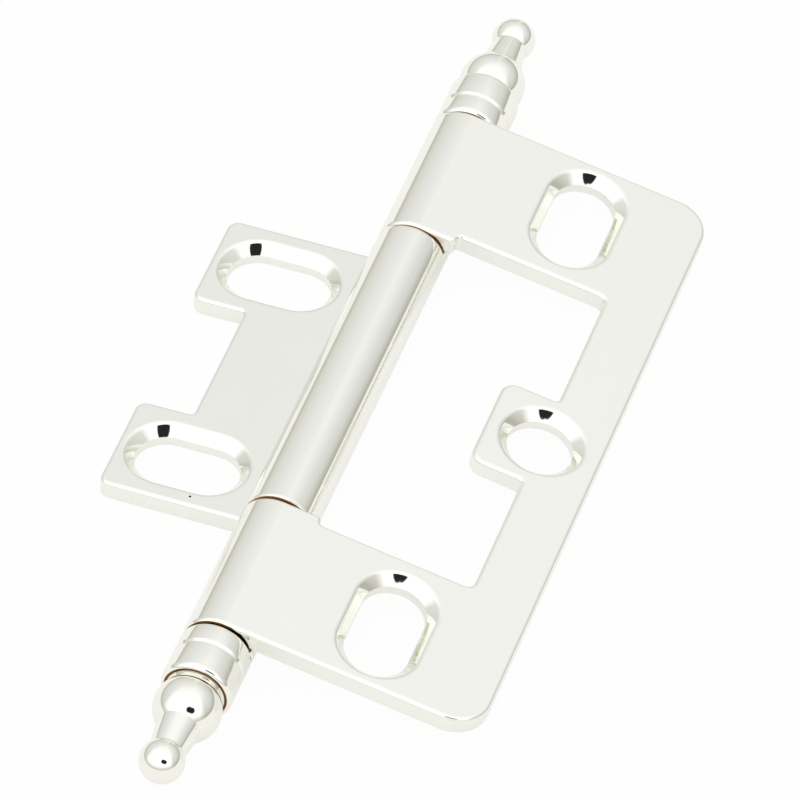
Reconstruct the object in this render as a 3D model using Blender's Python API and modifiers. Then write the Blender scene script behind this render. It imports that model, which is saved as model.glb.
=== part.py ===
# Non-mortise cabinet hinge with ball-tipped finials, opened out and lying at rest.
# Metres, +Z up. The barrel runs along Y, the frame leaf lies towards +X and the door leaf towards -X.
# The origin is on the back of the door leaf, in the middle of the web between its notch and the barrel.

import math

import bmesh
import bpy
from mathutils import Matrix, Vector

MM = 0.001

# Sheet, barrel and pin
SHEET = 1.8 * MM
KNUCKLE_RADIUS = 3.0 * MM
KNUCKLE_GAP = 0.2 * MM
SEAM_GAP = 0.3 * MM
PIN_CLEARANCE = 0.06 * MM
PIN_END_INSET = 0.3 * MM
PIN_CHAMFER = 0.25 * MM

# Door leaf, the small one, its width measured from the barrel's axis
DOOR_LEAF_WIDTH = 15.6 * MM
DOOR_NOTCH_DEPTH = 4.7 * MM
DOOR_EAR_LENGTH = 10.1 * MM
KNUCKLE_OUTSET = 0.35 * MM

# Frame leaf, the large one that the door leaf nests in
WINDOW_SIDE_CLEARANCE = 1.0 * MM
WINDOW_END_CLEARANCE = 1.35 * MM
FRAME_BAR_WIDTH = 5.3 * MM
FRAME_STRAP_LENGTH = 13.9 * MM
TAB_WIDTH = 9.7 * MM
NOTCH_CLEARANCE = 1.55 * MM
SHOULDER_OUTSET = 0.3 * MM

# Countersunk screw holes and slots
SCREW_HOLE_RADIUS = 2.8 * MM
COUNTERSINK_DEPTH = 0.9 * MM
COUNTERSINK_SPREAD = 0.85 * MM
SLOT_HOLE_RADIUS = 2.7 * MM
FRAME_SLOT_END_LAND = 0.95 * MM
FRAME_SLOT_WINDOW_LAND = 1.45 * MM
FRAME_SLOT_FROM_SIDE = 10.2 * MM
DOOR_SLOT_SIDE_LAND = 0.7 * MM
DOOR_SLOT_KNUCKLE_LAND = 1.3 * MM

# Corner and edge rounding
EDGE_ROUND = 0.35 * MM
FRAME_CORNER = 3.2 * MM
TAB_CORNER = 1.3 * MM
WINDOW_CORNER = 0.7 * MM
DOOR_CORNER = 1.0 * MM
SHOULDER_CORNER_MARGIN = 0.03 * MM
INNER_CORNER = 0.35 * MM

# Finials, lengths measured outwards from the end of the frame leaf
FINIAL_GAP = 0.1 * MM
FINIAL_SOCKET_DEPTH = 4.2 * MM
FINIAL_SOCKET_CLEARANCE = 0.05 * MM
DRUM_LENGTH = 5.3 * MM
DRUM_EDGE = 0.5 * MM
GROOVE_FROM_LEAF = 2.3 * MM
GROOVE_WIDTH = 0.5 * MM
GROOVE_DEPTH = 0.22 * MM
BALL_RADIUS = 2.8 * MM
BALL_FROM_DRUM = 1.8 * MM
NECK_BASE_RADIUS = 1.8 * MM
NECK_TOP_RADIUS = 1.45 * MM
TIP_BALL_RADIUS = 1.85 * MM
FINIAL_LENGTH = 14.95 * MM

# Colours and finishes
NICKEL_COLOUR = (0.86, 0.84, 0.80)
NICKEL_ROUGHNESS = 0.08
STEEL_COLOUR = (0.62, 0.61, 0.59)
STEEL_ROUGHNESS = 0.3

# Facets, and how far a cutter runs past the face it cuts
CUT_OVERSHOOT = 0.4 * MM
ROLL_STEP = math.radians(15)
CORNER_STEP = math.radians(18)
HOLE_SEGMENTS = 32
TURNED_STEPS = 32
BALL_STEP = math.radians(15)
EDGE_SEGMENTS = 2
SHARP_FROM = math.radians(40)

# Sizes that follow from the ones above
BORE_RADIUS = KNUCKLE_RADIUS - SHEET
SHOULDER_CORNER = EDGE_ROUND + SHOULDER_CORNER_MARGIN
PIN_RADIUS = BORE_RADIUS - PIN_CLEARANCE
ROLL_RADIUS = KNUCKLE_RADIUS - SHEET / 2
ROLL_ANGLE = 2 * math.pi - math.acos((BORE_RADIUS - SEAM_GAP) / KNUCKLE_RADIUS)
ROLL_LENGTH = ROLL_ANGLE * ROLL_RADIUS
SHOULDER = KNUCKLE_RADIUS + SHOULDER_OUTSET
NOTCH_BOTTOM = DOOR_LEAF_WIDTH - DOOR_NOTCH_DEPTH
NOTCH_HALF = TAB_WIDTH / 2 + NOTCH_CLEARANCE
DOOR_LEAF_HALF = NOTCH_HALF + DOOR_EAR_LENGTH
CENTRE_KNUCKLE_HALF = DOOR_LEAF_HALF + KNUCKLE_OUTSET
END_KNUCKLE_INNER = CENTRE_KNUCKLE_HALF + KNUCKLE_GAP
WINDOW_SIDE = DOOR_LEAF_WIDTH + WINDOW_SIDE_CLEARANCE
WINDOW_HALF = DOOR_LEAF_HALF + WINDOW_END_CLEARANCE
TAB_END = NOTCH_BOTTOM + WINDOW_SIDE_CLEARANCE
FRAME_LEAF_WIDTH = WINDOW_SIDE + FRAME_BAR_WIDTH
FRAME_LEAF_HALF = WINDOW_HALF + FRAME_STRAP_LENGTH
SLOT_RIM_RADIUS = SLOT_HOLE_RADIUS + COUNTERSINK_SPREAD
AXIS_X = NOTCH_BOTTOM / 2


def rest_angle():
    """Angle at which the frame leaf's far edge reaches the surface that the door leaf lies on."""
    reach = FRAME_LEAF_WIDTH - EDGE_ROUND
    rise = BORE_RADIUS + EDGE_ROUND
    drop = KNUCKLE_RADIUS - EDGE_ROUND
    return math.atan2(rise, reach) + math.asin(drop / math.hypot(reach, rise))


def clear_scene():
    for item in list(bpy.data.objects):
        bpy.data.objects.remove(item, do_unlink=True)


def new_collection(name):
    collection = bpy.data.collections.new(name)
    bpy.context.scene.collection.children.link(collection)
    return collection


def new_material(name, colour, roughness):
    material = bpy.data.materials.new(name)
    material.use_nodes = True
    shader = material.node_tree.nodes["Principled BSDF"]
    shader.inputs["Base Color"].default_value = (*colour, 1.0)
    shader.inputs["Metallic"].default_value = 1.0
    shader.inputs["Roughness"].default_value = roughness
    return material


def new_object(name, data, collection, parent=None):
    item = bpy.data.objects.new(name, data)
    collection.objects.link(item)
    item.parent = parent
    return item


def new_pivot(name, collection, angle):
    """An empty on the barrel's axis, turned about it."""
    pivot = new_object(name, None, collection)
    pivot.location = (AXIS_X, 0, KNUCKLE_RADIUS)
    pivot.rotation_euler = (0, angle, 0)
    return pivot


def rounded_outline(corners):
    """Points of a closed outline, with an arc of the given radius at each (x, y, radius) corner."""
    points = []
    for index, (x, y, radius) in enumerate(corners):
        corner = Vector((x, y))
        before = Vector(corners[index - 1][:2])
        after = Vector(corners[(index + 1) % len(corners)][:2])
        if radius == 0:
            points.append(corner)
            continue
        arrive = (corner - before).normalized()
        leave = (after - corner).normalized()
        turn = arrive.angle_signed(leave)
        setback = radius * math.tan(abs(turn) / 2)
        side = 1 if arrive.cross(leave) > 0 else -1
        centre = corner - arrive * setback + Vector((-arrive.y, arrive.x)) * radius * side
        start = corner - arrive * setback - centre
        steps = max(2, round(abs(turn) / CORNER_STEP))
        for step in range(steps + 1):
            points.append(centre + Matrix.Rotation(side * abs(turn) * step / steps, 2) @ start)
    return points


def mirrored_outline(upper_half):
    """A whole outline from the corners of its half at +Y, given from the far side to the curl."""
    lower_half = [(x, -y, radius) for x, y, radius in reversed(upper_half)]
    return rounded_outline(upper_half + lower_half)


def blank_mesh(name, outline):
    """The flat sheet before it is rolled: outer face at z = 0, edges rounded, bend line at x = 0."""
    curve = bpy.data.curves.new(name, "CURVE")
    curve.dimensions = "2D"
    curve.fill_mode = "BOTH"
    curve.extrude = SHEET / 2 - EDGE_ROUND
    curve.bevel_depth = EDGE_ROUND
    curve.bevel_resolution = EDGE_SEGMENTS
    curve.offset = -EDGE_ROUND
    spline = curve.splines.new("POLY")
    spline.points.add(len(outline) - 1)
    for point, place in zip(spline.points, outline):
        point.co = (place.x, place.y, 0, 1)
    spline.use_cyclic_u = True
    flat = bpy.data.objects.new(name, curve)
    bpy.context.scene.collection.objects.link(flat)
    depsgraph = bpy.context.evaluated_depsgraph_get()
    mesh = bpy.data.meshes.new_from_object(flat.evaluated_get(depsgraph))
    bpy.data.objects.remove(flat, do_unlink=True)
    bpy.data.curves.remove(curve)
    mesh.transform(Matrix.Translation((0, 0, -SHEET / 2)))
    return mesh


def roll_knuckles(mesh):
    """Curl the part of the blank at -X around the pin, from the bend line on."""
    shape = bmesh.new()
    shape.from_mesh(mesh)
    bmesh.ops.remove_doubles(shape, verts=shape.verts, dist=0.001 * MM)
    steps = math.ceil(ROLL_ANGLE / ROLL_STEP)
    for step in range(steps):
        everything = shape.verts[:] + shape.edges[:] + shape.faces[:]
        cut = Vector((-ROLL_LENGTH * step / steps, 0, 0))
        bmesh.ops.bisect_plane(shape, geom=everything, dist=0.001 * MM, plane_co=cut, plane_no=(1, 0, 0))
    for vert in shape.verts:
        radius = KNUCKLE_RADIUS + vert.co.z
        angle = max(0.0, -vert.co.x / ROLL_RADIUS)
        along = max(0.0, vert.co.x)
        vert.co = (along - radius * math.sin(angle), vert.co.y, radius * math.cos(angle))
    bmesh.ops.recalc_face_normals(shape, faces=shape.faces)
    shape.to_mesh(mesh)
    shape.free()


def shade_round(mesh):
    mesh.shade_smooth()
    mesh.set_sharp_from_angle(angle=SHARP_FROM)


def cut_slot(leaf, cutters, label, place, travel, radius, open_side):
    """Cut a slot, or a hole where the travel is zero, countersunk on the outer (1) or inner (-1) face."""
    shank = SHEET - COUNTERSINK_DEPTH + CUT_OVERSHOOT
    flare = COUNTERSINK_DEPTH + CUT_OVERSHOOT
    mouth_radius = radius + COUNTERSINK_SPREAD * flare / COUNTERSINK_DEPTH
    shape = bmesh.new()
    turned = Matrix.Rotation(math.pi / HOLE_SEGMENTS, 4, "Z")
    bmesh.ops.create_cone(shape, cap_ends=True, segments=HOLE_SEGMENTS, matrix=turned, depth=shank,
                          radius1=radius, radius2=radius)
    top = max(shape.faces, key=lambda face: face.calc_center_median().z)
    mouth = bmesh.ops.extrude_discrete_faces(shape, faces=[top])["faces"][0]
    bmesh.ops.translate(shape, verts=mouth.verts, vec=(0, 0, flare))
    bmesh.ops.scale(shape, verts=mouth.verts, vec=(mouth_radius / radius, mouth_radius / radius, 1))
    bmesh.ops.translate(shape, verts=shape.verts, vec=(0, 0, SHEET / 2 - COUNTERSINK_DEPTH - shank / 2))
    if open_side == -1:
        bmesh.ops.rotate(shape, verts=shape.verts, matrix=Matrix.Rotation(math.pi, 3, "X"))
    stretch = Vector((*travel, 0)) / 2
    for vert in shape.verts:
        vert.co += stretch if vert.co.dot(stretch) > 0 else -stretch
    bmesh.ops.translate(shape, verts=shape.verts, vec=(*place, KNUCKLE_RADIUS - SHEET / 2))
    mesh = bpy.data.meshes.new(f"{leaf.name}_{label}")
    shape.to_mesh(mesh)
    shape.free()
    cutter = new_object(mesh.name, mesh, cutters, leaf.parent)
    cutter.hide_render = True
    cutter.display_type = "WIRE"
    boolean = leaf.modifiers.new(label, "BOOLEAN")
    boolean.operation = "DIFFERENCE"
    boolean.object = cutter


def make_frame_leaf(parts, cutters, pivot, material):
    """The large leaf, a window with a screw tab standing into it, and the two end knuckles."""
    half = [
        (FRAME_LEAF_WIDTH, FRAME_LEAF_HALF, FRAME_CORNER),
        (-ROLL_LENGTH, FRAME_LEAF_HALF, 0),
        (-ROLL_LENGTH, END_KNUCKLE_INNER, 0),
        (SHOULDER, END_KNUCKLE_INNER, SHOULDER_CORNER),
        (SHOULDER, WINDOW_HALF, INNER_CORNER),
        (WINDOW_SIDE, WINDOW_HALF, WINDOW_CORNER),
        (WINDOW_SIDE, TAB_WIDTH / 2, INNER_CORNER),
        (TAB_END, TAB_WIDTH / 2, TAB_CORNER),
    ]
    mesh = blank_mesh("frame_leaf", mirrored_outline(half))
    roll_knuckles(mesh)
    shade_round(mesh)
    leaf = new_object("frame_leaf", mesh, parts, pivot)
    mesh.materials.append(material)
    cut_slot(leaf, cutters, "tab_hole", (TAB_END + TAB_WIDTH / 2, 0), (0, 0), SCREW_HOLE_RADIUS, 1)
    first = WINDOW_HALF + FRAME_SLOT_WINDOW_LAND + SLOT_RIM_RADIUS
    last = FRAME_LEAF_HALF - FRAME_SLOT_END_LAND - SLOT_RIM_RADIUS
    for label, side in (("upper_slot", 1), ("lower_slot", -1)):
        place = (FRAME_LEAF_WIDTH - FRAME_SLOT_FROM_SIDE, side * (first + last) / 2)
        cut_slot(leaf, cutters, label, place, (0, last - first), SLOT_HOLE_RADIUS, 1)


def make_door_leaf(parts, cutters, pivot, material):
    """The small leaf, two ears beside a notch, and the long centre knuckle."""
    half = [
        (NOTCH_BOTTOM, NOTCH_HALF, INNER_CORNER),
        (DOOR_LEAF_WIDTH, NOTCH_HALF, DOOR_CORNER),
        (DOOR_LEAF_WIDTH, DOOR_LEAF_HALF, DOOR_CORNER),
        (SHOULDER, DOOR_LEAF_HALF, 0),
        (SHOULDER, CENTRE_KNUCKLE_HALF, 0),
        (-ROLL_LENGTH, CENTRE_KNUCKLE_HALF, 0),
    ]
    mesh = blank_mesh("door_leaf", mirrored_outline(half))
    roll_knuckles(mesh)
    shade_round(mesh)
    leaf = new_object("door_leaf", mesh, parts, pivot)
    mesh.materials.append(material)
    first = KNUCKLE_RADIUS + DOOR_SLOT_KNUCKLE_LAND + SLOT_RIM_RADIUS
    last = DOOR_LEAF_WIDTH - DOOR_SLOT_SIDE_LAND - SLOT_RIM_RADIUS
    for label, side in (("upper_slot", 1), ("lower_slot", -1)):
        place = ((first + last) / 2, side * (NOTCH_HALF + DOOR_LEAF_HALF) / 2)
        cut_slot(leaf, cutters, label, place, (last - first, 0), SLOT_HOLE_RADIUS, -1)


def add_turned(name, mesh, parts, pivot, direction):
    """A profile turned about the barrel's axis, its length pointing along +Y or -Y."""
    item = new_object(name, mesh, parts, pivot)
    item.rotation_euler = (-direction * math.pi / 2, 0, 0)
    screw = item.modifiers.new("turned", "SCREW")
    screw.axis = "Z"
    screw.steps = TURNED_STEPS
    screw.render_steps = TURNED_STEPS
    screw.use_merge_vertices = True
    screw.merge_threshold = 0.001 * MM
    screw.use_smooth_shade = True
    return item


def profile_mesh(name, profile, material):
    """An open profile of (radius, height) points in the XZ plane, from the top down."""
    mesh = bpy.data.meshes.new(name)
    points = [(radius, 0, height) for radius, height in profile]
    mesh.from_pydata(points, [(index, index + 1) for index in range(len(points) - 1)], [])
    mesh.materials.append(material)
    return mesh


def ball_arc(centre, radius, first, last):
    """Points on a ball from one angle to another, angles counted from its top."""
    steps = max(2, math.ceil((last - first) / BALL_STEP))
    angles = [first + (last - first) * step / steps for step in range(steps + 1)]
    return [(radius * math.sin(angle), centre + radius * math.cos(angle)) for angle in angles]


def finial_profile():
    """Tip ball, tapered neck, large ball and grooved drum, then the blind socket for the pin."""
    tip_centre = FINIAL_LENGTH - TIP_BALL_RADIUS
    ball_centre = DRUM_LENGTH + BALL_FROM_DRUM
    tip = ball_arc(tip_centre, TIP_BALL_RADIUS, 0, math.pi - math.asin(NECK_TOP_RADIUS / TIP_BALL_RADIUS))
    ball_start = math.asin(NECK_BASE_RADIUS / BALL_RADIUS)
    ball = ball_arc(ball_centre, BALL_RADIUS, ball_start, math.pi - math.acos(BALL_FROM_DRUM / BALL_RADIUS))
    drum = [
        (KNUCKLE_RADIUS - DRUM_EDGE, DRUM_LENGTH),
        (KNUCKLE_RADIUS, DRUM_LENGTH - DRUM_EDGE),
        (KNUCKLE_RADIUS, GROOVE_FROM_LEAF + GROOVE_WIDTH / 2),
        (KNUCKLE_RADIUS - GROOVE_DEPTH, GROOVE_FROM_LEAF),
        (KNUCKLE_RADIUS, GROOVE_FROM_LEAF - GROOVE_WIDTH / 2),
        (KNUCKLE_RADIUS, FINIAL_GAP + DRUM_EDGE),
        (KNUCKLE_RADIUS - DRUM_EDGE, FINIAL_GAP),
    ]
    socket_radius = PIN_RADIUS + FINIAL_SOCKET_CLEARANCE
    socket = [
        (socket_radius, FINIAL_GAP),
        (socket_radius, FINIAL_SOCKET_DEPTH),
        (0, FINIAL_SOCKET_DEPTH),
    ]
    return tip + ball + drum + socket


def make_finials(parts, pivot, material):
    mesh = profile_mesh("finial", finial_profile(), material)
    for name, direction in (("upper_finial", 1), ("lower_finial", -1)):
        finial = add_turned(name, mesh, parts, pivot, direction)
        finial.location = (0, direction * FRAME_LEAF_HALF, 0)


def make_pin(parts, pivot, material):
    """A plain rod through all three knuckles, with chamfered ends inside the finials."""
    half_length = FRAME_LEAF_HALF + FINIAL_SOCKET_DEPTH - PIN_END_INSET
    profile = [
        (0, half_length),
        (PIN_RADIUS - PIN_CHAMFER, half_length),
        (PIN_RADIUS, half_length - PIN_CHAMFER),
        (PIN_RADIUS, PIN_CHAMFER - half_length),
        (PIN_RADIUS - PIN_CHAMFER, -half_length),
        (0, -half_length),
    ]
    add_turned("hinge_pin", profile_mesh("hinge_pin", profile, material), parts, pivot, 1)


def main():
    clear_scene()
    parts = new_collection("non_mortise_hinge")
    cutters = new_collection("hinge_cutters")
    nickel = new_material("polished_nickel", NICKEL_COLOUR, NICKEL_ROUGHNESS)
    steel = new_material("pin_steel", STEEL_COLOUR, STEEL_ROUGHNESS)
    frame_pivot = new_pivot("frame_leaf_axis", parts, rest_angle())
    door_pivot = new_pivot("door_leaf_axis", parts, math.pi)
    make_frame_leaf(parts, cutters, frame_pivot, nickel)
    make_door_leaf(parts, cutters, door_pivot, nickel)
    make_finials(parts, frame_pivot, nickel)
    make_pin(parts, frame_pivot, steel)


main()
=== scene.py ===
import math

import bmesh
import bpy
from mathutils import Matrix, Vector


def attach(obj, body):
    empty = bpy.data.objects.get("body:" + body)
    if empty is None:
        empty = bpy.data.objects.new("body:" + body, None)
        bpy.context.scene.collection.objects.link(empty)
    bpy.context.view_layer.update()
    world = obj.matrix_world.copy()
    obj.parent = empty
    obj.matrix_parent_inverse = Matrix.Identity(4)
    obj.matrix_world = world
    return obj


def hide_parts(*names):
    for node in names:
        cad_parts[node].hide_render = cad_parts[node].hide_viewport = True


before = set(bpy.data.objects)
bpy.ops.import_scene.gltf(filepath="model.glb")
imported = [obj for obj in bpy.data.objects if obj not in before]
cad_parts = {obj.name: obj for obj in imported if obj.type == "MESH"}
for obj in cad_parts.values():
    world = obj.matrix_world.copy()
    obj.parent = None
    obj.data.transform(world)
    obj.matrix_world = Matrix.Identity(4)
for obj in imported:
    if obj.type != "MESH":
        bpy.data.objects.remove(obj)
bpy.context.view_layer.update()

# Sizes in millimetres, as in the solids but for a shallower groove and slightly larger small corners
MM = 0.001
SHEET = 1.8
KNUCKLE_RADIUS = 3.0
KNUCKLE_GAP = 0.2
SEAM_GAP = 0.3
DOOR_LEAF_WIDTH = 15.6
DOOR_NOTCH_DEPTH = 4.7
DOOR_EAR_LENGTH = 10.1
KNUCKLE_OUTSET = 0.35
WINDOW_SIDE_CLEARANCE = 1.0
WINDOW_END_CLEARANCE = 1.35
FRAME_BAR_WIDTH = 5.3
FRAME_STRAP_LENGTH = 13.9
TAB_WIDTH = 9.7
NOTCH_CLEARANCE = 1.55
SHOULDER_OUTSET = 0.3
SCREW_HOLE_RADIUS = 2.8
COUNTERSINK_DEPTH = 0.9
COUNTERSINK_SPREAD = 0.85
SLOT_HOLE_RADIUS = 2.7
FRAME_SLOT_END_LAND = 0.95
FRAME_SLOT_WINDOW_LAND = 1.45
FRAME_SLOT_FROM_SIDE = 10.2
DOOR_SLOT_SIDE_LAND = 0.7
DOOR_SLOT_KNUCKLE_LAND = 1.3
EDGE_ROUND = 0.35
FRAME_CORNER = 3.2
TAB_CORNER = 1.3
WINDOW_CORNER = 0.7
DOOR_CORNER = 1.0
SMALL_CORNER = 0.38
FINIAL_GAP = 0.1
FINIAL_SOCKET_DEPTH = 4.2
FINIAL_SOCKET_RADIUS = 1.19
DRUM_LENGTH = 5.3
DRUM_EDGE = 0.5
GROOVE_FROM_LEAF = 2.3
GROOVE_WIDTH = 0.5
GROOVE_DEPTH = 0.15
BALL_RADIUS = 2.8
BALL_FROM_DRUM = 1.8
NECK_BASE_RADIUS = 1.8
NECK_TOP_RADIUS = 1.45
TIP_BALL_RADIUS = 1.85
FINIAL_LENGTH = 14.95

# Fineness of the surface, and the small roundings of the holes' edges
SUPPORT = 0.02
HOLE_STEPS = 48
ROLL_STEP = math.radians(3)
TURNED_STEPS = 144
BALL_STEP = math.radians(4)
BRIM_ROUND = 0.5
LAND_ROUND = 0.06
BACK_ROUND = 0.12
KNUCKLE_END_ROUND = 0.15
GROOVE_ROUND = 0.06
SOCKET_ROUND = 0.1
CORNER_STEPS = 6
CORNER_STEPS_PER_MM = 4
ARC_STEPS = 3
ARC_STEP_DEGREES = 11
SHARP_FROM = math.radians(35)
CUT_TOLERANCE = 1e-5
ON_AXIS = 1e-6

# The light tent's level by height above the horizon (the z of a direction)
TENT_LEFT = (
    (0.0, (0.595, 0.586, 0.528)),
    (0.1, (0.595, 0.586, 0.538)),
    (0.2, (0.710, 0.701, 0.653)),
    (0.38, (0.768, 0.768, 0.739)),
    (0.52, (0.806, 0.806, 0.797)),
    (0.64, (0.854, 0.854, 0.854)),
    (0.72, (0.893, 0.893, 0.893)),
    (0.9, (0.925, 0.93, 0.93)),
    (1.0, (0.96, 0.96, 0.96)),
)
TENT_RIGHT = (
    (0.0, (0.50, 0.49, 0.44)),
    (0.1, (0.514, 0.506, 0.460)),
    (0.18, (0.616, 0.610, 0.565)),
    (0.34, (0.731, 0.731, 0.700)),
    (0.47, (0.771, 0.771, 0.760)),
    (0.57, (0.838, 0.838, 0.835)),
    (0.65, (0.896, 0.896, 0.896)),
    (0.72, (0.955, 0.955, 0.955)),
    (0.9, (0.95, 0.96, 0.97)),
    (1.0, (0.98, 0.98, 0.98)),
)
TENT_FRONT = (
    (0.0, (0.62, 0.60, 0.56)),
    (0.12, (0.75, 0.74, 0.70)),
    (0.3, (1.10, 1.10, 1.10)),
    (0.5, (1.30, 1.30, 1.30)),
    (0.75, (1.25, 1.25, 1.25)),
    (0.95, (1.12, 1.12, 1.12)),
)

# Where the tent's front passes into its back, by y + SIDE_SHARE * x * x
FRONT_END = 0.2
BACK_START = 0.68
SIDE_SHARE = 0.9

# Where the tent's left half passes into its right one, by x
HALVES_STOPS = ((-0.08, (0, 0, 0)), (0.03, (1, 1, 1)))

# The tent's cream seam, where its two halves meet behind the hinge
SEAM_COLOUR = (0.94, 0.905, 0.825)
SEAM_STOPS = ((-0.11, (0, 0, 0)), (-0.04, (0.7, 0.7, 0.7)), (0.02, (0.7, 0.7, 0.7)), (0.06, (0, 0, 0)))

# The tent's dark opening, as two round holes that run into each other
OPENINGS = ((0.327, -0.641, 0.696), (0.46, -0.61, 0.645))
OPENING_INNER = 9.0
OPENING_OUTER = 11.0
NEARLY_BLACK = (0.02, 0.02, 0.02)

# Enough bounces for light to leave the slots, whose facing walls otherwise show a black line
MAX_BOUNCES = 24
GLOSSY_BOUNCES = 16

# How much of the floor's look is plain white, to the eye and in the metal
FLOOR_WHITE_SEEN = 0.96
FLOOR_WHITE_IN_METAL = 0.6
FLOOR_COLOUR = (0.92, 0.90, 0.86)
FLOOR_SIZE = 3.0
FLOOR_DROP = 0.00001

# The metals, and the plate's ripple
NICKEL_COLOUR = (0.925, 0.93, 0.875)
NICKEL_ROUGHNESS = 0.05
STEEL_COLOUR = (0.62, 0.61, 0.59)
STEEL_ROUGHNESS = 0.3
RIPPLE_SCALE = 260.0
RIPPLE_DETAIL = 2.0
RIPPLE_DARKENING = 0.985
RIPPLE_GLOSS = (0.8, 1.3)
BUMP_STRENGTH = 0.15
BUMP_DISTANCE = 0.00002

# Painted shade and reflection: brown between the knuckles, dark at the drums' ends, and a pit on the door
# leaf painted nearly black as its shade
JOINT_SHADE_COLOUR = (0.68, 0.40, 0.18)
JOINT_SHADE_ROUGHNESS = 0.55
JOINT_SHADE_REACH = 0.13
PAINTED_SHADE_RADIUS = 2.9
DRUM_END_SHADE_COLOUR = (0.16, 0.08, 0.03)
DRUM_END_SHADE_REACH = 0.07
SHADE_RING_RADIUS = 2.56
SHADE_RING_REACH = 0.11
PIT_PLACE = (-2.53, -15.46, 1.8)
PIT_RADIUS = 0.11

# The photograph's view, worked out from the hinge's own edges in it
CAMERA_AZIMUTH = 0.27721637
CAMERA_ELEVATION = 0.78083575
CAMERA_ROLL = -0.06402913
CAMERA_DISTANCE = math.exp(6.60222967)
CAMERA_TARGET = (4.73542461, 0.01831117)
FOCAL_LENGTH_IN_PIXELS = 9010.909
IMAGE_WIDTH_IN_PIXELS = 800
SENSOR_WIDTH = 36.0
CLIP_START = 0.01
CLIP_END = 10.0

# Sizes that follow
BORE_RADIUS = KNUCKLE_RADIUS - SHEET
ROLL_RADIUS = KNUCKLE_RADIUS - SHEET / 2
ROLL_ANGLE = 2 * math.pi - math.acos((BORE_RADIUS - SEAM_GAP) / KNUCKLE_RADIUS)
ROLL_LENGTH = ROLL_ANGLE * ROLL_RADIUS
SHOULDER = KNUCKLE_RADIUS + SHOULDER_OUTSET
NOTCH_BOTTOM = DOOR_LEAF_WIDTH - DOOR_NOTCH_DEPTH
NOTCH_HALF = TAB_WIDTH / 2 + NOTCH_CLEARANCE
DOOR_LEAF_HALF = NOTCH_HALF + DOOR_EAR_LENGTH
CENTRE_KNUCKLE_HALF = DOOR_LEAF_HALF + KNUCKLE_OUTSET
END_KNUCKLE_INNER = CENTRE_KNUCKLE_HALF + KNUCKLE_GAP
WINDOW_SIDE = DOOR_LEAF_WIDTH + WINDOW_SIDE_CLEARANCE
WINDOW_HALF = DOOR_LEAF_HALF + WINDOW_END_CLEARANCE
TAB_END = NOTCH_BOTTOM + WINDOW_SIDE_CLEARANCE
FRAME_LEAF_WIDTH = WINDOW_SIDE + FRAME_BAR_WIDTH
FRAME_LEAF_HALF = WINDOW_HALF + FRAME_STRAP_LENGTH
SLOT_RIM_RADIUS = SLOT_HOLE_RADIUS + COUNTERSINK_SPREAD
AXIS_X = NOTCH_BOTTOM / 2


def rest_angle():
    """The frame leaf's slope at rest, with its far edge on the surface."""
    reach = FRAME_LEAF_WIDTH - EDGE_ROUND
    rise = BORE_RADIUS + EDGE_ROUND
    drop = KNUCKLE_RADIUS - EDGE_ROUND
    return math.atan2(rise, reach) + math.asin(drop / math.hypot(reach, rise))


def outline_ring(corners, inset):
    """The outline's points, moved inwards by inset. Its corners are right angles, given anticlockwise."""
    points = []
    for index, (x, y, radius) in enumerate(corners):
        corner = Vector((x, y))
        arrive = (corner - Vector(corners[index - 1][:2])).normalized()
        leave = (Vector(corners[(index + 1) % len(corners)][:2]) - corner).normalized()
        first = Vector((-arrive.y, arrive.x))
        second = Vector((-leave.y, leave.x))
        side = 1 if arrive.cross(leave) > 0 else -1
        turned = radius - side * inset
        centre = corner + (first + second) * (inset + side * turned)
        steps = CORNER_STEPS + round(radius * CORNER_STEPS_PER_MM)
        for step in range(steps + 1):
            angle = math.pi / 2 * step / steps
            points.append(centre - (first * math.cos(angle) + second * math.sin(angle)) * turned * side)
    return points


def slot_ring(place, travel, radius):
    """Points round a slot whose two round ends are drawn apart by its travel."""
    points = []
    stretch = Vector(travel) / 2
    start = math.atan2(stretch.y, stretch.x) - math.pi / 2
    for end in (1, -1):
        for step in range(HOLE_STEPS + 1):
            if stretch.length == 0 and step == HOLE_STEPS:
                continue
            angle = start + math.pi * step / HOLE_STEPS + (0 if end == 1 else math.pi)
            points.append(Vector(place) + stretch * end + Vector((math.cos(angle), math.sin(angle))) * radius)
    return points


def round_path(path):
    """An open line through (u, v, radius) points, each turned by an arc of its radius."""
    points = []
    for index, (u, v, radius) in enumerate(path):
        corner = Vector((u, v))
        if radius == 0 or index in (0, len(path) - 1):
            points.append(corner)
            continue
        arrive = (corner - Vector(path[index - 1][:2])).normalized()
        leave = (Vector(path[index + 1][:2]) - corner).normalized()
        turn = arrive.angle_signed(leave)
        side = 1 if arrive.cross(leave) > 0 else -1
        setback = radius * math.tan(abs(turn) / 2)
        centre = corner - arrive * setback + Vector((-arrive.y, arrive.x)) * radius * side
        start = corner - arrive * setback - centre
        steps = max(ARC_STEPS, round(math.degrees(abs(turn)) / ARC_STEP_DEGREES))
        for step in range(steps + 1):
            points.append(centre + Matrix.Rotation(side * abs(turn) * step / steps, 2) @ start)
    return points


def edge_profile():
    """(inset, depth) pairs down the sheet's edge, from just inside the outer face to just inside the back."""
    far = EDGE_ROUND + SUPPORT
    path = [(far, 0, 0), (0, 0, EDGE_ROUND), (0, SHEET, EDGE_ROUND), (far, SHEET, 0)]
    return [(point.x, point.y) for point in round_path(path)]


def hole_profile(radius):
    """(radius, depth) pairs down a countersunk hole, with the small roundings of its three edges."""
    face = radius + COUNTERSINK_SPREAD
    path = [
        (face + BRIM_ROUND / 2 + SUPPORT, 0, 0),
        (face, 0, BRIM_ROUND),
        (radius, COUNTERSINK_DEPTH, LAND_ROUND),
        (radius, SHEET, BACK_ROUND),
        (radius + BACK_ROUND + SUPPORT, SHEET, 0),
    ]
    return [(point.x, point.y) for point in round_path(path)]


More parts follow.
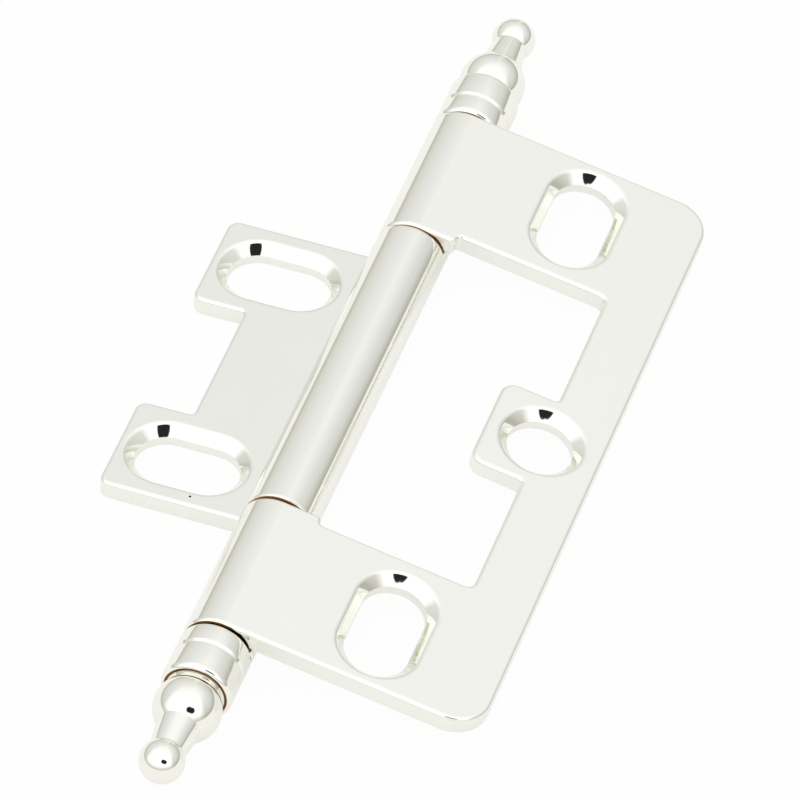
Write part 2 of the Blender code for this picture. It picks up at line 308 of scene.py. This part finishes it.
def add_rings(shape, rings):
    """Verts of each ring, with quads between neighbouring rings."""
    made = [[shape.verts.new(point) for point in ring] for ring in rings]
    for upper, lower in zip(made, made[1:]):
        for index in range(len(upper)):
            after = (index + 1) % len(upper)
            shape.faces.new((upper[index], upper[after], lower[after], lower[index]))
    return made


def leaf_mesh(name, corners, holes, open_side):
    """A flat leaf with rounded edges and countersunk holes, in millimetres, its outer face at z = 0."""
    shape = bmesh.new()
    contours = [add_rings(shape, [[(p.x, p.y, -depth) for p in outline_ring(corners, inset)]
                                  for inset, depth in edge_profile()])]
    for place, travel, radius in holes:
        rings = []
        for width, depth in hole_profile(radius):
            level = -depth if open_side == 1 else depth - SHEET
            rings.append([(p.x, p.y, level) for p in slot_ring(place, travel, width)])
        if open_side == -1:
            rings.reverse()
        contours.append(add_rings(shape, rings))
    for end in (0, -1):
        edges = []
        for contour in contours:
            ring = contour[end]
            for index, vert in enumerate(ring):
                edges.append(shape.edges.get((vert, ring[(index + 1) % len(ring)])))
        bmesh.ops.triangle_fill(shape, edges=edges, use_beauty=True)
    bmesh.ops.recalc_face_normals(shape, faces=shape.faces)
    mesh = bpy.data.meshes.new(name)
    shape.to_mesh(mesh)
    shape.free()
    return mesh


def roll_knuckles(mesh):
    """Curl the part of the blank at -X round the pin, and lift the flat part to the barrel's top."""
    shape = bmesh.new()
    shape.from_mesh(mesh)
    steps = math.ceil(ROLL_ANGLE / ROLL_STEP)
    cuts = [SUPPORT] + [-ROLL_LENGTH * step / steps for step in range(steps)]
    for cut in cuts:
        everything = shape.verts[:] + shape.edges[:] + shape.faces[:]
        bmesh.ops.bisect_plane(
            shape, geom=everything, dist=CUT_TOLERANCE, plane_co=(cut, 0, 0), plane_no=(1, 0, 0))
    for vert in shape.verts:
        radius = KNUCKLE_RADIUS + vert.co.z
        angle = max(0.0, -vert.co.x / ROLL_RADIUS)
        along = max(0.0, vert.co.x)
        vert.co = (along - radius * math.sin(angle), vert.co.y, radius * math.cos(angle))
    bmesh.ops.recalc_face_normals(shape, faces=shape.faces)
    shape.to_mesh(mesh)
    shape.free()


def mirrored(upper_half):
    return upper_half + [(x, -y, radius) for x, y, radius in reversed(upper_half)]


def frame_leaf_mesh():
    corners = mirrored([
        (FRAME_LEAF_WIDTH, FRAME_LEAF_HALF, FRAME_CORNER),
        (-ROLL_LENGTH, FRAME_LEAF_HALF, SMALL_CORNER),
        (-ROLL_LENGTH, END_KNUCKLE_INNER, SMALL_CORNER),
        (SHOULDER, END_KNUCKLE_INNER, SMALL_CORNER),
        (SHOULDER, WINDOW_HALF, SMALL_CORNER),
        (WINDOW_SIDE, WINDOW_HALF, WINDOW_CORNER),
        (WINDOW_SIDE, TAB_WIDTH / 2, SMALL_CORNER),
        (TAB_END, TAB_WIDTH / 2, TAB_CORNER),
    ])
    x = FRAME_LEAF_WIDTH - FRAME_SLOT_FROM_SIDE
    first = WINDOW_HALF + FRAME_SLOT_WINDOW_LAND + SLOT_RIM_RADIUS
    last = FRAME_LEAF_HALF - FRAME_SLOT_END_LAND - SLOT_RIM_RADIUS
    holes = [
        ((TAB_END + TAB_WIDTH / 2, 0), (0, 0), SCREW_HOLE_RADIUS),
        ((x, (first + last) / 2), (0, last - first), SLOT_HOLE_RADIUS),
        ((x, -(first + last) / 2), (0, last - first), SLOT_HOLE_RADIUS),
    ]
    return leaf_mesh("frame_leaf_plated", corners, holes, 1)


def tighten_knuckle_ends(mesh):
    """Give the centre knuckle's two ends a smaller rounding than the leaf's other edges."""
    share = KNUCKLE_END_ROUND / EDGE_ROUND
    for vert in mesh.vertices:
        inset = CENTRE_KNUCKLE_HALF - abs(vert.co.y)
        if inset > EDGE_ROUND - SUPPORT / 2:
            continue
        vert.co.y = math.copysign(CENTRE_KNUCKLE_HALF - inset * share, vert.co.y)
        if vert.co.z > -EDGE_ROUND:
            vert.co.z *= share
        elif vert.co.z < EDGE_ROUND - SHEET:
            vert.co.z = (vert.co.z + SHEET) * share - SHEET


def door_leaf_mesh():
    corners = mirrored([
        (NOTCH_BOTTOM, NOTCH_HALF, SMALL_CORNER),
        (DOOR_LEAF_WIDTH, NOTCH_HALF, DOOR_CORNER),
        (DOOR_LEAF_WIDTH, DOOR_LEAF_HALF, DOOR_CORNER),
        (SHOULDER, DOOR_LEAF_HALF, 0.0),
        (SHOULDER, CENTRE_KNUCKLE_HALF, EDGE_ROUND),
        (-ROLL_LENGTH, CENTRE_KNUCKLE_HALF, SMALL_CORNER),
    ])
    first = KNUCKLE_RADIUS + DOOR_SLOT_KNUCKLE_LAND + SLOT_RIM_RADIUS
    last = DOOR_LEAF_WIDTH - DOOR_SLOT_SIDE_LAND - SLOT_RIM_RADIUS
    y = (NOTCH_HALF + DOOR_LEAF_HALF) / 2
    holes = [
        (((first + last) / 2, y), (last - first, 0), SLOT_HOLE_RADIUS),
        (((first + last) / 2, -y), (last - first, 0), SLOT_HOLE_RADIUS),
    ]
    mesh = leaf_mesh("door_leaf_plated", corners, holes, -1)
    tighten_knuckle_ends(mesh)
    return mesh


def ball_arc(centre, radius, first, last):
    steps = max(2, math.ceil((last - first) / BALL_STEP))
    angles = [first + (last - first) * step / steps for step in range(steps + 1)]
    return [(radius * math.sin(angle), centre + radius * math.cos(angle)) for angle in angles]


def finial_profile():
    """(radius, height) pairs from the tip down the outside and up into the pin's socket."""
    tip_centre = FINIAL_LENGTH - TIP_BALL_RADIUS
    ball_centre = DRUM_LENGTH + BALL_FROM_DRUM
    tip = ball_arc(tip_centre, TIP_BALL_RADIUS, 0, math.pi - math.asin(NECK_TOP_RADIUS / TIP_BALL_RADIUS))
    ball_start = math.asin(NECK_BASE_RADIUS / BALL_RADIUS)
    ball = ball_arc(ball_centre, BALL_RADIUS, ball_start, math.pi - math.acos(BALL_FROM_DRUM / BALL_RADIUS))
    half_groove = GROOVE_WIDTH / 2
    drum = round_path([
        (ball[-1][0], DRUM_LENGTH, 0),
        (KNUCKLE_RADIUS, DRUM_LENGTH, DRUM_EDGE),
        (KNUCKLE_RADIUS, GROOVE_FROM_LEAF + half_groove, GROOVE_ROUND),
        (KNUCKLE_RADIUS - GROOVE_DEPTH, GROOVE_FROM_LEAF, GROOVE_ROUND),
        (KNUCKLE_RADIUS, GROOVE_FROM_LEAF - half_groove, GROOVE_ROUND),
        (KNUCKLE_RADIUS, FINIAL_GAP, DRUM_EDGE),
        (FINIAL_SOCKET_RADIUS, FINIAL_GAP, SOCKET_ROUND),
        (FINIAL_SOCKET_RADIUS, FINIAL_SOCKET_DEPTH, 0),
        (0, FINIAL_SOCKET_DEPTH, 0),
    ])
    return tip + ball + [(point.x, point.y) for point in drum[1:]]


def finial_mesh(name, direction):
    """The finial's profile turned about the barrel's axis, its tip pointing along +Y or -Y."""
    shape = bmesh.new()
    rings = []
    for radius, height in finial_profile():
        y = direction * (FRAME_LEAF_HALF + height)
        if radius < ON_AXIS:
            rings.append([shape.verts.new((0, y, 0))])
            continue
        angles = [2 * math.pi * step / TURNED_STEPS for step in range(TURNED_STEPS)]
        rings.append([shape.verts.new((radius * math.cos(a), y, radius * math.sin(a))) for a in angles])
    for upper, lower in zip(rings, rings[1:]):
        for index in range(TURNED_STEPS):
            after = (index + 1) % TURNED_STEPS
            corners = [upper[index % len(upper)], upper[after % len(upper)],
                       lower[after % len(lower)], lower[index % len(lower)]]
            shape.faces.new(list(dict.fromkeys(corners)))
    bmesh.ops.recalc_face_normals(shape, faces=shape.faces)
    mesh = bpy.data.meshes.new(name)
    shape.to_mesh(mesh)
    shape.free()
    return mesh


def place_piece(mesh, angle, body, material, *nodes):
    """Turn a mesh about the barrel's axis, put it there in metres, and show it for its CAD node."""
    turn = Matrix.Rotation(angle, 4, "Y")
    move = Matrix.Translation((AXIS_X, 0, KNUCKLE_RADIUS))
    mesh.transform(Matrix.Scale(MM, 4) @ move @ turn)
    mesh.shade_smooth()
    mesh.set_sharp_from_angle(angle=SHARP_FROM)
    mesh.materials.append(material)
    piece = bpy.data.objects.new(mesh.name, mesh)
    crisp = piece.modifiers.new("flat_faces_shade_flat", "WEIGHTED_NORMAL")
    crisp.keep_sharp = True
    bpy.context.scene.collection.objects.link(piece)
    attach(piece, body)
    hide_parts(*nodes)


def link(tree, source, target):
    tree.links.new(source, target)


def calculate(tree, operation, first, second):
    node = tree.nodes.new("ShaderNodeMath")
    node.operation = operation
    link(tree, first, node.inputs[0])
    if isinstance(second, float):
        node.inputs[1].default_value = second
    else:
        link(tree, second, node.inputs[1])
    return node.outputs[0]


def mix_by(tree, factor, first, second):
    mix = tree.nodes.new("ShaderNodeMix")
    mix.data_type = "RGBA"
    link(tree, factor, mix.inputs["Factor"])
    link(tree, first, mix.inputs["A"])
    if isinstance(second, tuple):
        mix.inputs["B"].default_value = (*second, 1.0)
    else:
        link(tree, second, mix.inputs["B"])
    return mix.outputs["Result"]


def distance_from(tree, value, millimetres):
    return calculate(tree, "ABSOLUTE", calculate(tree, "SUBTRACT", value, millimetres * MM), 0.0)


def along_and_off_axis(tree, place):
    """How far a point lies along the barrel from its middle, and how far off the barrel's axis."""
    axes = tree.nodes.new("ShaderNodeSeparateXYZ")
    link(tree, place, axes.inputs["Vector"])
    along = calculate(tree, "ABSOLUTE", axes.outputs["Y"], 0.0)
    across = tree.nodes.new("ShaderNodeCombineXYZ")
    link(tree, calculate(tree, "SUBTRACT", axes.outputs["X"], AXIS_X * MM), across.inputs["X"])
    link(tree, calculate(tree, "SUBTRACT", axes.outputs["Z"], KNUCKLE_RADIUS * MM), across.inputs["Z"])
    off = tree.nodes.new("ShaderNodeVectorMath")
    off.operation = "LENGTH"
    link(tree, across.outputs["Vector"], off.inputs[0])
    return along, off.outputs["Value"]


def joint_shade(tree, along, off):
    """Where shade and reflection are painted brown: 1 on the knuckles' ends that face each other across a
    joint, and 0 elsewhere.
    """
    from_joint = distance_from(tree, along, CENTRE_KNUCKLE_HALF + KNUCKLE_GAP / 2)
    in_joint = calculate(tree, "LESS_THAN", from_joint, JOINT_SHADE_REACH * MM)
    in_barrel = calculate(tree, "LESS_THAN", off, PAINTED_SHADE_RADIUS * MM)
    return calculate(tree, "MULTIPLY", in_joint, in_barrel)


def drum_end_shade(tree, along, off):
    """Where shade and reflection are painted dark: 1 on the frame leaf's ends behind the drums and in a ring
    on each drum's end, and 0 elsewhere.
    """
    from_leaf_end = distance_from(tree, along, FRAME_LEAF_HALF)
    behind_drum = calculate(tree, "LESS_THAN", from_leaf_end, DRUM_END_SHADE_REACH * MM)
    in_barrel = calculate(tree, "LESS_THAN", off, PAINTED_SHADE_RADIUS * MM)
    from_drum_end = distance_from(tree, along, FRAME_LEAF_HALF + DRUM_LENGTH)
    at_end = calculate(tree, "LESS_THAN", from_drum_end, SHADE_RING_REACH * MM)
    in_ring = calculate(tree, "LESS_THAN", distance_from(tree, off, SHADE_RING_RADIUS), SHADE_RING_REACH * MM)
    on_leaf = calculate(tree, "MULTIPLY", behind_drum, in_barrel)
    return calculate(tree, "MAXIMUM", on_leaf, calculate(tree, "MULTIPLY", at_end, in_ring))


def pit_shade_mask(tree, place):
    """Where a pit's shade is painted nearly black: 1 inside the pit and 0 elsewhere."""
    apart = tree.nodes.new("ShaderNodeVectorMath")
    apart.operation = "DISTANCE"
    link(tree, place, apart.inputs[0])
    apart.inputs[1].default_value = Vector(PIT_PLACE) * MM
    return calculate(tree, "LESS_THAN", apart.outputs["Value"], PIT_RADIUS * MM)


def polished_metal(name, colour, roughness, marked):
    """Bright metal with a faint orange-peel ripple and, where marked, painted shade and reflection between
    the knuckles and at the drums' ends, and a pit's painted shade.
    """
    material = bpy.data.materials.new(name)
    material.use_nodes = True
    tree = material.node_tree
    shader = tree.nodes["Principled BSDF"]
    shader.inputs["Metallic"].default_value = 1.0
    place = tree.nodes.new("ShaderNodeTexCoord").outputs["Object"]
    ripple = tree.nodes.new("ShaderNodeTexNoise")
    ripple.inputs["Scale"].default_value = RIPPLE_SCALE
    ripple.inputs["Detail"].default_value = RIPPLE_DETAIL
    link(tree, place, ripple.inputs["Vector"])
    tint = tree.nodes.new("ShaderNodeMix")
    tint.data_type = "RGBA"
    tint.inputs["A"].default_value = (*[c * RIPPLE_DARKENING for c in colour], 1.0)
    tint.inputs["B"].default_value = (*colour, 1.0)
    link(tree, ripple.outputs["Fac"], tint.inputs["Factor"])
    shade = tint.outputs["Result"]
    gloss = tree.nodes.new("ShaderNodeMapRange")
    gloss.inputs["To Min"].default_value = roughness * RIPPLE_GLOSS[0]
    gloss.inputs["To Max"].default_value = roughness * RIPPLE_GLOSS[1]
    link(tree, ripple.outputs["Fac"], gloss.inputs["Value"])
    rough = gloss.outputs["Result"]
    if marked:
        along, off = along_and_off_axis(tree, place)
        # painted shade and reflection: brown on the knuckles' ends across each joint, made rougher there
        joint_shade_mask = joint_shade(tree, along, off)
        shade = mix_by(tree, joint_shade_mask, shade, JOINT_SHADE_COLOUR)
        # painted shade and reflection: dark on the leaf's ends behind the drums and in a ring on each drum's
        # end
        shade = mix_by(tree, drum_end_shade(tree, along, off), shade, DRUM_END_SHADE_COLOUR)
        # painted shade: a pit on the door leaf, not modelled, painted nearly black
        shade = mix_by(tree, pit_shade_mask(tree, place), shade, NEARLY_BLACK)
        rough = calculate(tree, "MAXIMUM", rough, calculate(tree, "MULTIPLY", joint_shade_mask, JOINT_SHADE_ROUGHNESS))
    link(tree, shade, shader.inputs["Base Color"])
    link(tree, rough, shader.inputs["Roughness"])
    bump = tree.nodes.new("ShaderNodeBump")
    bump.inputs["Strength"].default_value = BUMP_STRENGTH
    bump.inputs["Distance"].default_value = BUMP_DISTANCE
    link(tree, ripple.outputs["Fac"], bump.inputs["Height"])
    link(tree, bump.outputs["Normal"], shader.inputs["Normal"])
    return material


def make_floor():
    shape = bmesh.new()
    bmesh.ops.create_grid(shape, x_segments=1, y_segments=1, size=FLOOR_SIZE)
    mesh = bpy.data.meshes.new("floor")
    shape.to_mesh(mesh)
    shape.free()
    floor = bpy.data.objects.new("floor", mesh)
    floor.location.z = -FLOOR_DROP
    bpy.context.scene.collection.objects.link(floor)
    material = bpy.data.materials.new("floor_white")
    material.use_nodes = True
    tree = material.node_tree
    tree.nodes.clear()
    output = tree.nodes.new("ShaderNodeOutputMaterial")
    diffuse = tree.nodes.new("ShaderNodeBsdfDiffuse")
    diffuse.inputs["Color"].default_value = (*FLOOR_COLOUR, 1.0)
    glow = tree.nodes.new("ShaderNodeEmission")
    rays = tree.nodes.new("ShaderNodeLightPath")
    in_metal = tree.nodes.new("ShaderNodeMath")
    in_metal.operation = "MULTIPLY"
    in_metal.inputs[1].default_value = FLOOR_WHITE_IN_METAL
    link(tree, rays.outputs["Is Glossy Ray"], in_metal.inputs[0])
    share = tree.nodes.new("ShaderNodeMath")
    share.operation = "MULTIPLY_ADD"
    share.inputs[1].default_value = FLOOR_WHITE_SEEN
    link(tree, rays.outputs["Is Camera Ray"], share.inputs[0])
    link(tree, in_metal.outputs[0], share.inputs[2])
    mix = tree.nodes.new("ShaderNodeMixShader")
    link(tree, share.outputs[0], mix.inputs[0])
    link(tree, diffuse.outputs[0], mix.inputs[1])
    link(tree, glow.outputs[0], mix.inputs[2])
    link(tree, mix.outputs[0], output.inputs["Surface"])
    mesh.materials.append(material)


def world_ramp(tree, value, low, high, stops):
    """A grey or tinted level by value, from (place between low and high, colour) stops."""
    spread = tree.nodes.new("ShaderNodeMapRange")
    spread.inputs["From Min"].default_value = low
    spread.inputs["From Max"].default_value = high
    link(tree, value, spread.inputs["Value"])
    ramp = tree.nodes.new("ShaderNodeValToRGB")
    while len(ramp.color_ramp.elements) < len(stops):
        ramp.color_ramp.elements.new(0.5)
    for element, (place, colour) in zip(ramp.color_ramp.elements, stops):
        element.position = (place - low) / (high - low)
        element.color = (*colour, 1.0)
    link(tree, spread.outputs["Result"], ramp.inputs["Fac"])
    return ramp.outputs["Color"]


def near_direction(tree, direction, towards, inner, outer):
    """1 within the inner angle of a direction and 0 beyond the outer one, both in degrees."""
    dot = tree.nodes.new("ShaderNodeVectorMath")
    dot.operation = "DOT_PRODUCT"
    link(tree, direction, dot.inputs[0])
    dot.inputs[1].default_value = Vector(towards).normalized()
    edge = tree.nodes.new("ShaderNodeMapRange")
    edge.interpolation_type = "SMOOTHSTEP"
    edge.inputs["From Min"].default_value = math.cos(math.radians(outer))
    edge.inputs["From Max"].default_value = math.cos(math.radians(inner))
    link(tree, dot.outputs["Value"], edge.inputs["Value"])
    return edge.outputs["Result"]


def make_world():
    """A light tent: bright in front, paler with height behind, with a dark opening near the camera."""
    world = bpy.data.worlds.new("light_tent")
    bpy.context.scene.world = world
    world.use_nodes = True
    tree = world.node_tree
    background = tree.nodes["Background"]
    place = tree.nodes.new("ShaderNodeTexCoord")
    direction = place.outputs["Generated"]
    axes = tree.nodes.new("ShaderNodeSeparateXYZ")
    link(tree, direction, axes.inputs["Vector"])
    x, y, z = axes.outputs
    side = world_ramp(tree, x, -1.0, 1.0, HALVES_STOPS)
    left = world_ramp(tree, z, 0.0, 1.0, TENT_LEFT)
    right = world_ramp(tree, z, 0.0, 1.0, TENT_RIGHT)
    front = world_ramp(tree, z, 0.0, 1.0, TENT_FRONT)
    behind = mix_by(tree, side, left, right)
    behind = mix_by(tree, world_ramp(tree, x, -1.0, 1.0, SEAM_STOPS), behind, SEAM_COLOUR)
    aside = calculate(tree, "MULTIPLY", calculate(tree, "MULTIPLY", x, x), SIDE_SHARE)
    depth = calculate(tree, "ADD", y, aside)
    depth = world_ramp(tree, depth, -1.0, 1.0, ((FRONT_END, (0, 0, 0)), (BACK_START, (1, 1, 1))))
    lit = mix_by(tree, depth, front, behind)
    for towards in OPENINGS:
        opening = near_direction(tree, direction, towards, OPENING_INNER, OPENING_OUTER)
        lit = mix_by(tree, opening, lit, NEARLY_BLACK)
    rays = tree.nodes.new("ShaderNodeLightPath")
    seen = mix_by(tree, rays.outputs["Is Camera Ray"], lit, (1.0, 1.0, 1.0))
    link(tree, seen, background.inputs["Color"])
    background.inputs["Strength"].default_value = 1.0


def make_camera():
    """The photograph's view: where it stands, where it looks, and how it is rolled."""
    back = Vector((
        math.sin(CAMERA_AZIMUTH) * math.cos(CAMERA_ELEVATION),
        -math.cos(CAMERA_AZIMUTH) * math.cos(CAMERA_ELEVATION),
        math.sin(CAMERA_ELEVATION),
    ))
    target = Vector((CAMERA_TARGET[0] + AXIS_X, CAMERA_TARGET[1], KNUCKLE_RADIUS))
    place = target + back * CAMERA_DISTANCE
    level = Vector((math.cos(CAMERA_AZIMUTH), math.sin(CAMERA_AZIMUTH), 0))
    down = (-back).cross(level)
    right = level * math.cos(CAMERA_ROLL) + down * math.sin(CAMERA_ROLL)
    low = down * math.cos(CAMERA_ROLL) - level * math.sin(CAMERA_ROLL)
    data = bpy.data.cameras.new("camera")
    data.sensor_width = SENSOR_WIDTH
    data.lens = FOCAL_LENGTH_IN_PIXELS / IMAGE_WIDTH_IN_PIXELS * data.sensor_width
    data.clip_start = CLIP_START
    data.clip_end = CLIP_END
    camera = bpy.data.objects.new("camera", data)
    bpy.context.scene.collection.objects.link(camera)
    axes = Matrix((right, -low, back)).transposed().to_4x4()
    camera.matrix_world = Matrix.Translation(place * MM) @ axes
    bpy.context.scene.camera = camera


def main():
    nickel = polished_metal("polished_nickel", NICKEL_COLOUR, NICKEL_ROUGHNESS, True)
    steel = polished_metal("pin_steel", STEEL_COLOUR, STEEL_ROUGHNESS, False)
    leaf = frame_leaf_mesh()
    roll_knuckles(leaf)
    place_piece(leaf, rest_angle(), "frame_side", nickel, "frame_leaf")
    leaf = door_leaf_mesh()
    roll_knuckles(leaf)
    place_piece(leaf, math.pi, "door_side", nickel, "door_leaf")
    place_piece(finial_mesh("upper_finial_plated", 1), 0, "frame_side", nickel, "upper_finial")
    place_piece(finial_mesh("lower_finial_plated", -1), 0, "frame_side", nickel, "lower_finial")
    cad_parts["hinge_pin"].data.materials.clear()
    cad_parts["hinge_pin"].data.materials.append(steel)
    make_floor()
    make_world()
    make_camera()
    bpy.context.scene.view_settings.view_transform = "Standard"
    bpy.context.scene.cycles.max_bounces = MAX_BOUNCES
    bpy.context.scene.cycles.glossy_bounces = GLOSSY_BOUNCES


main()
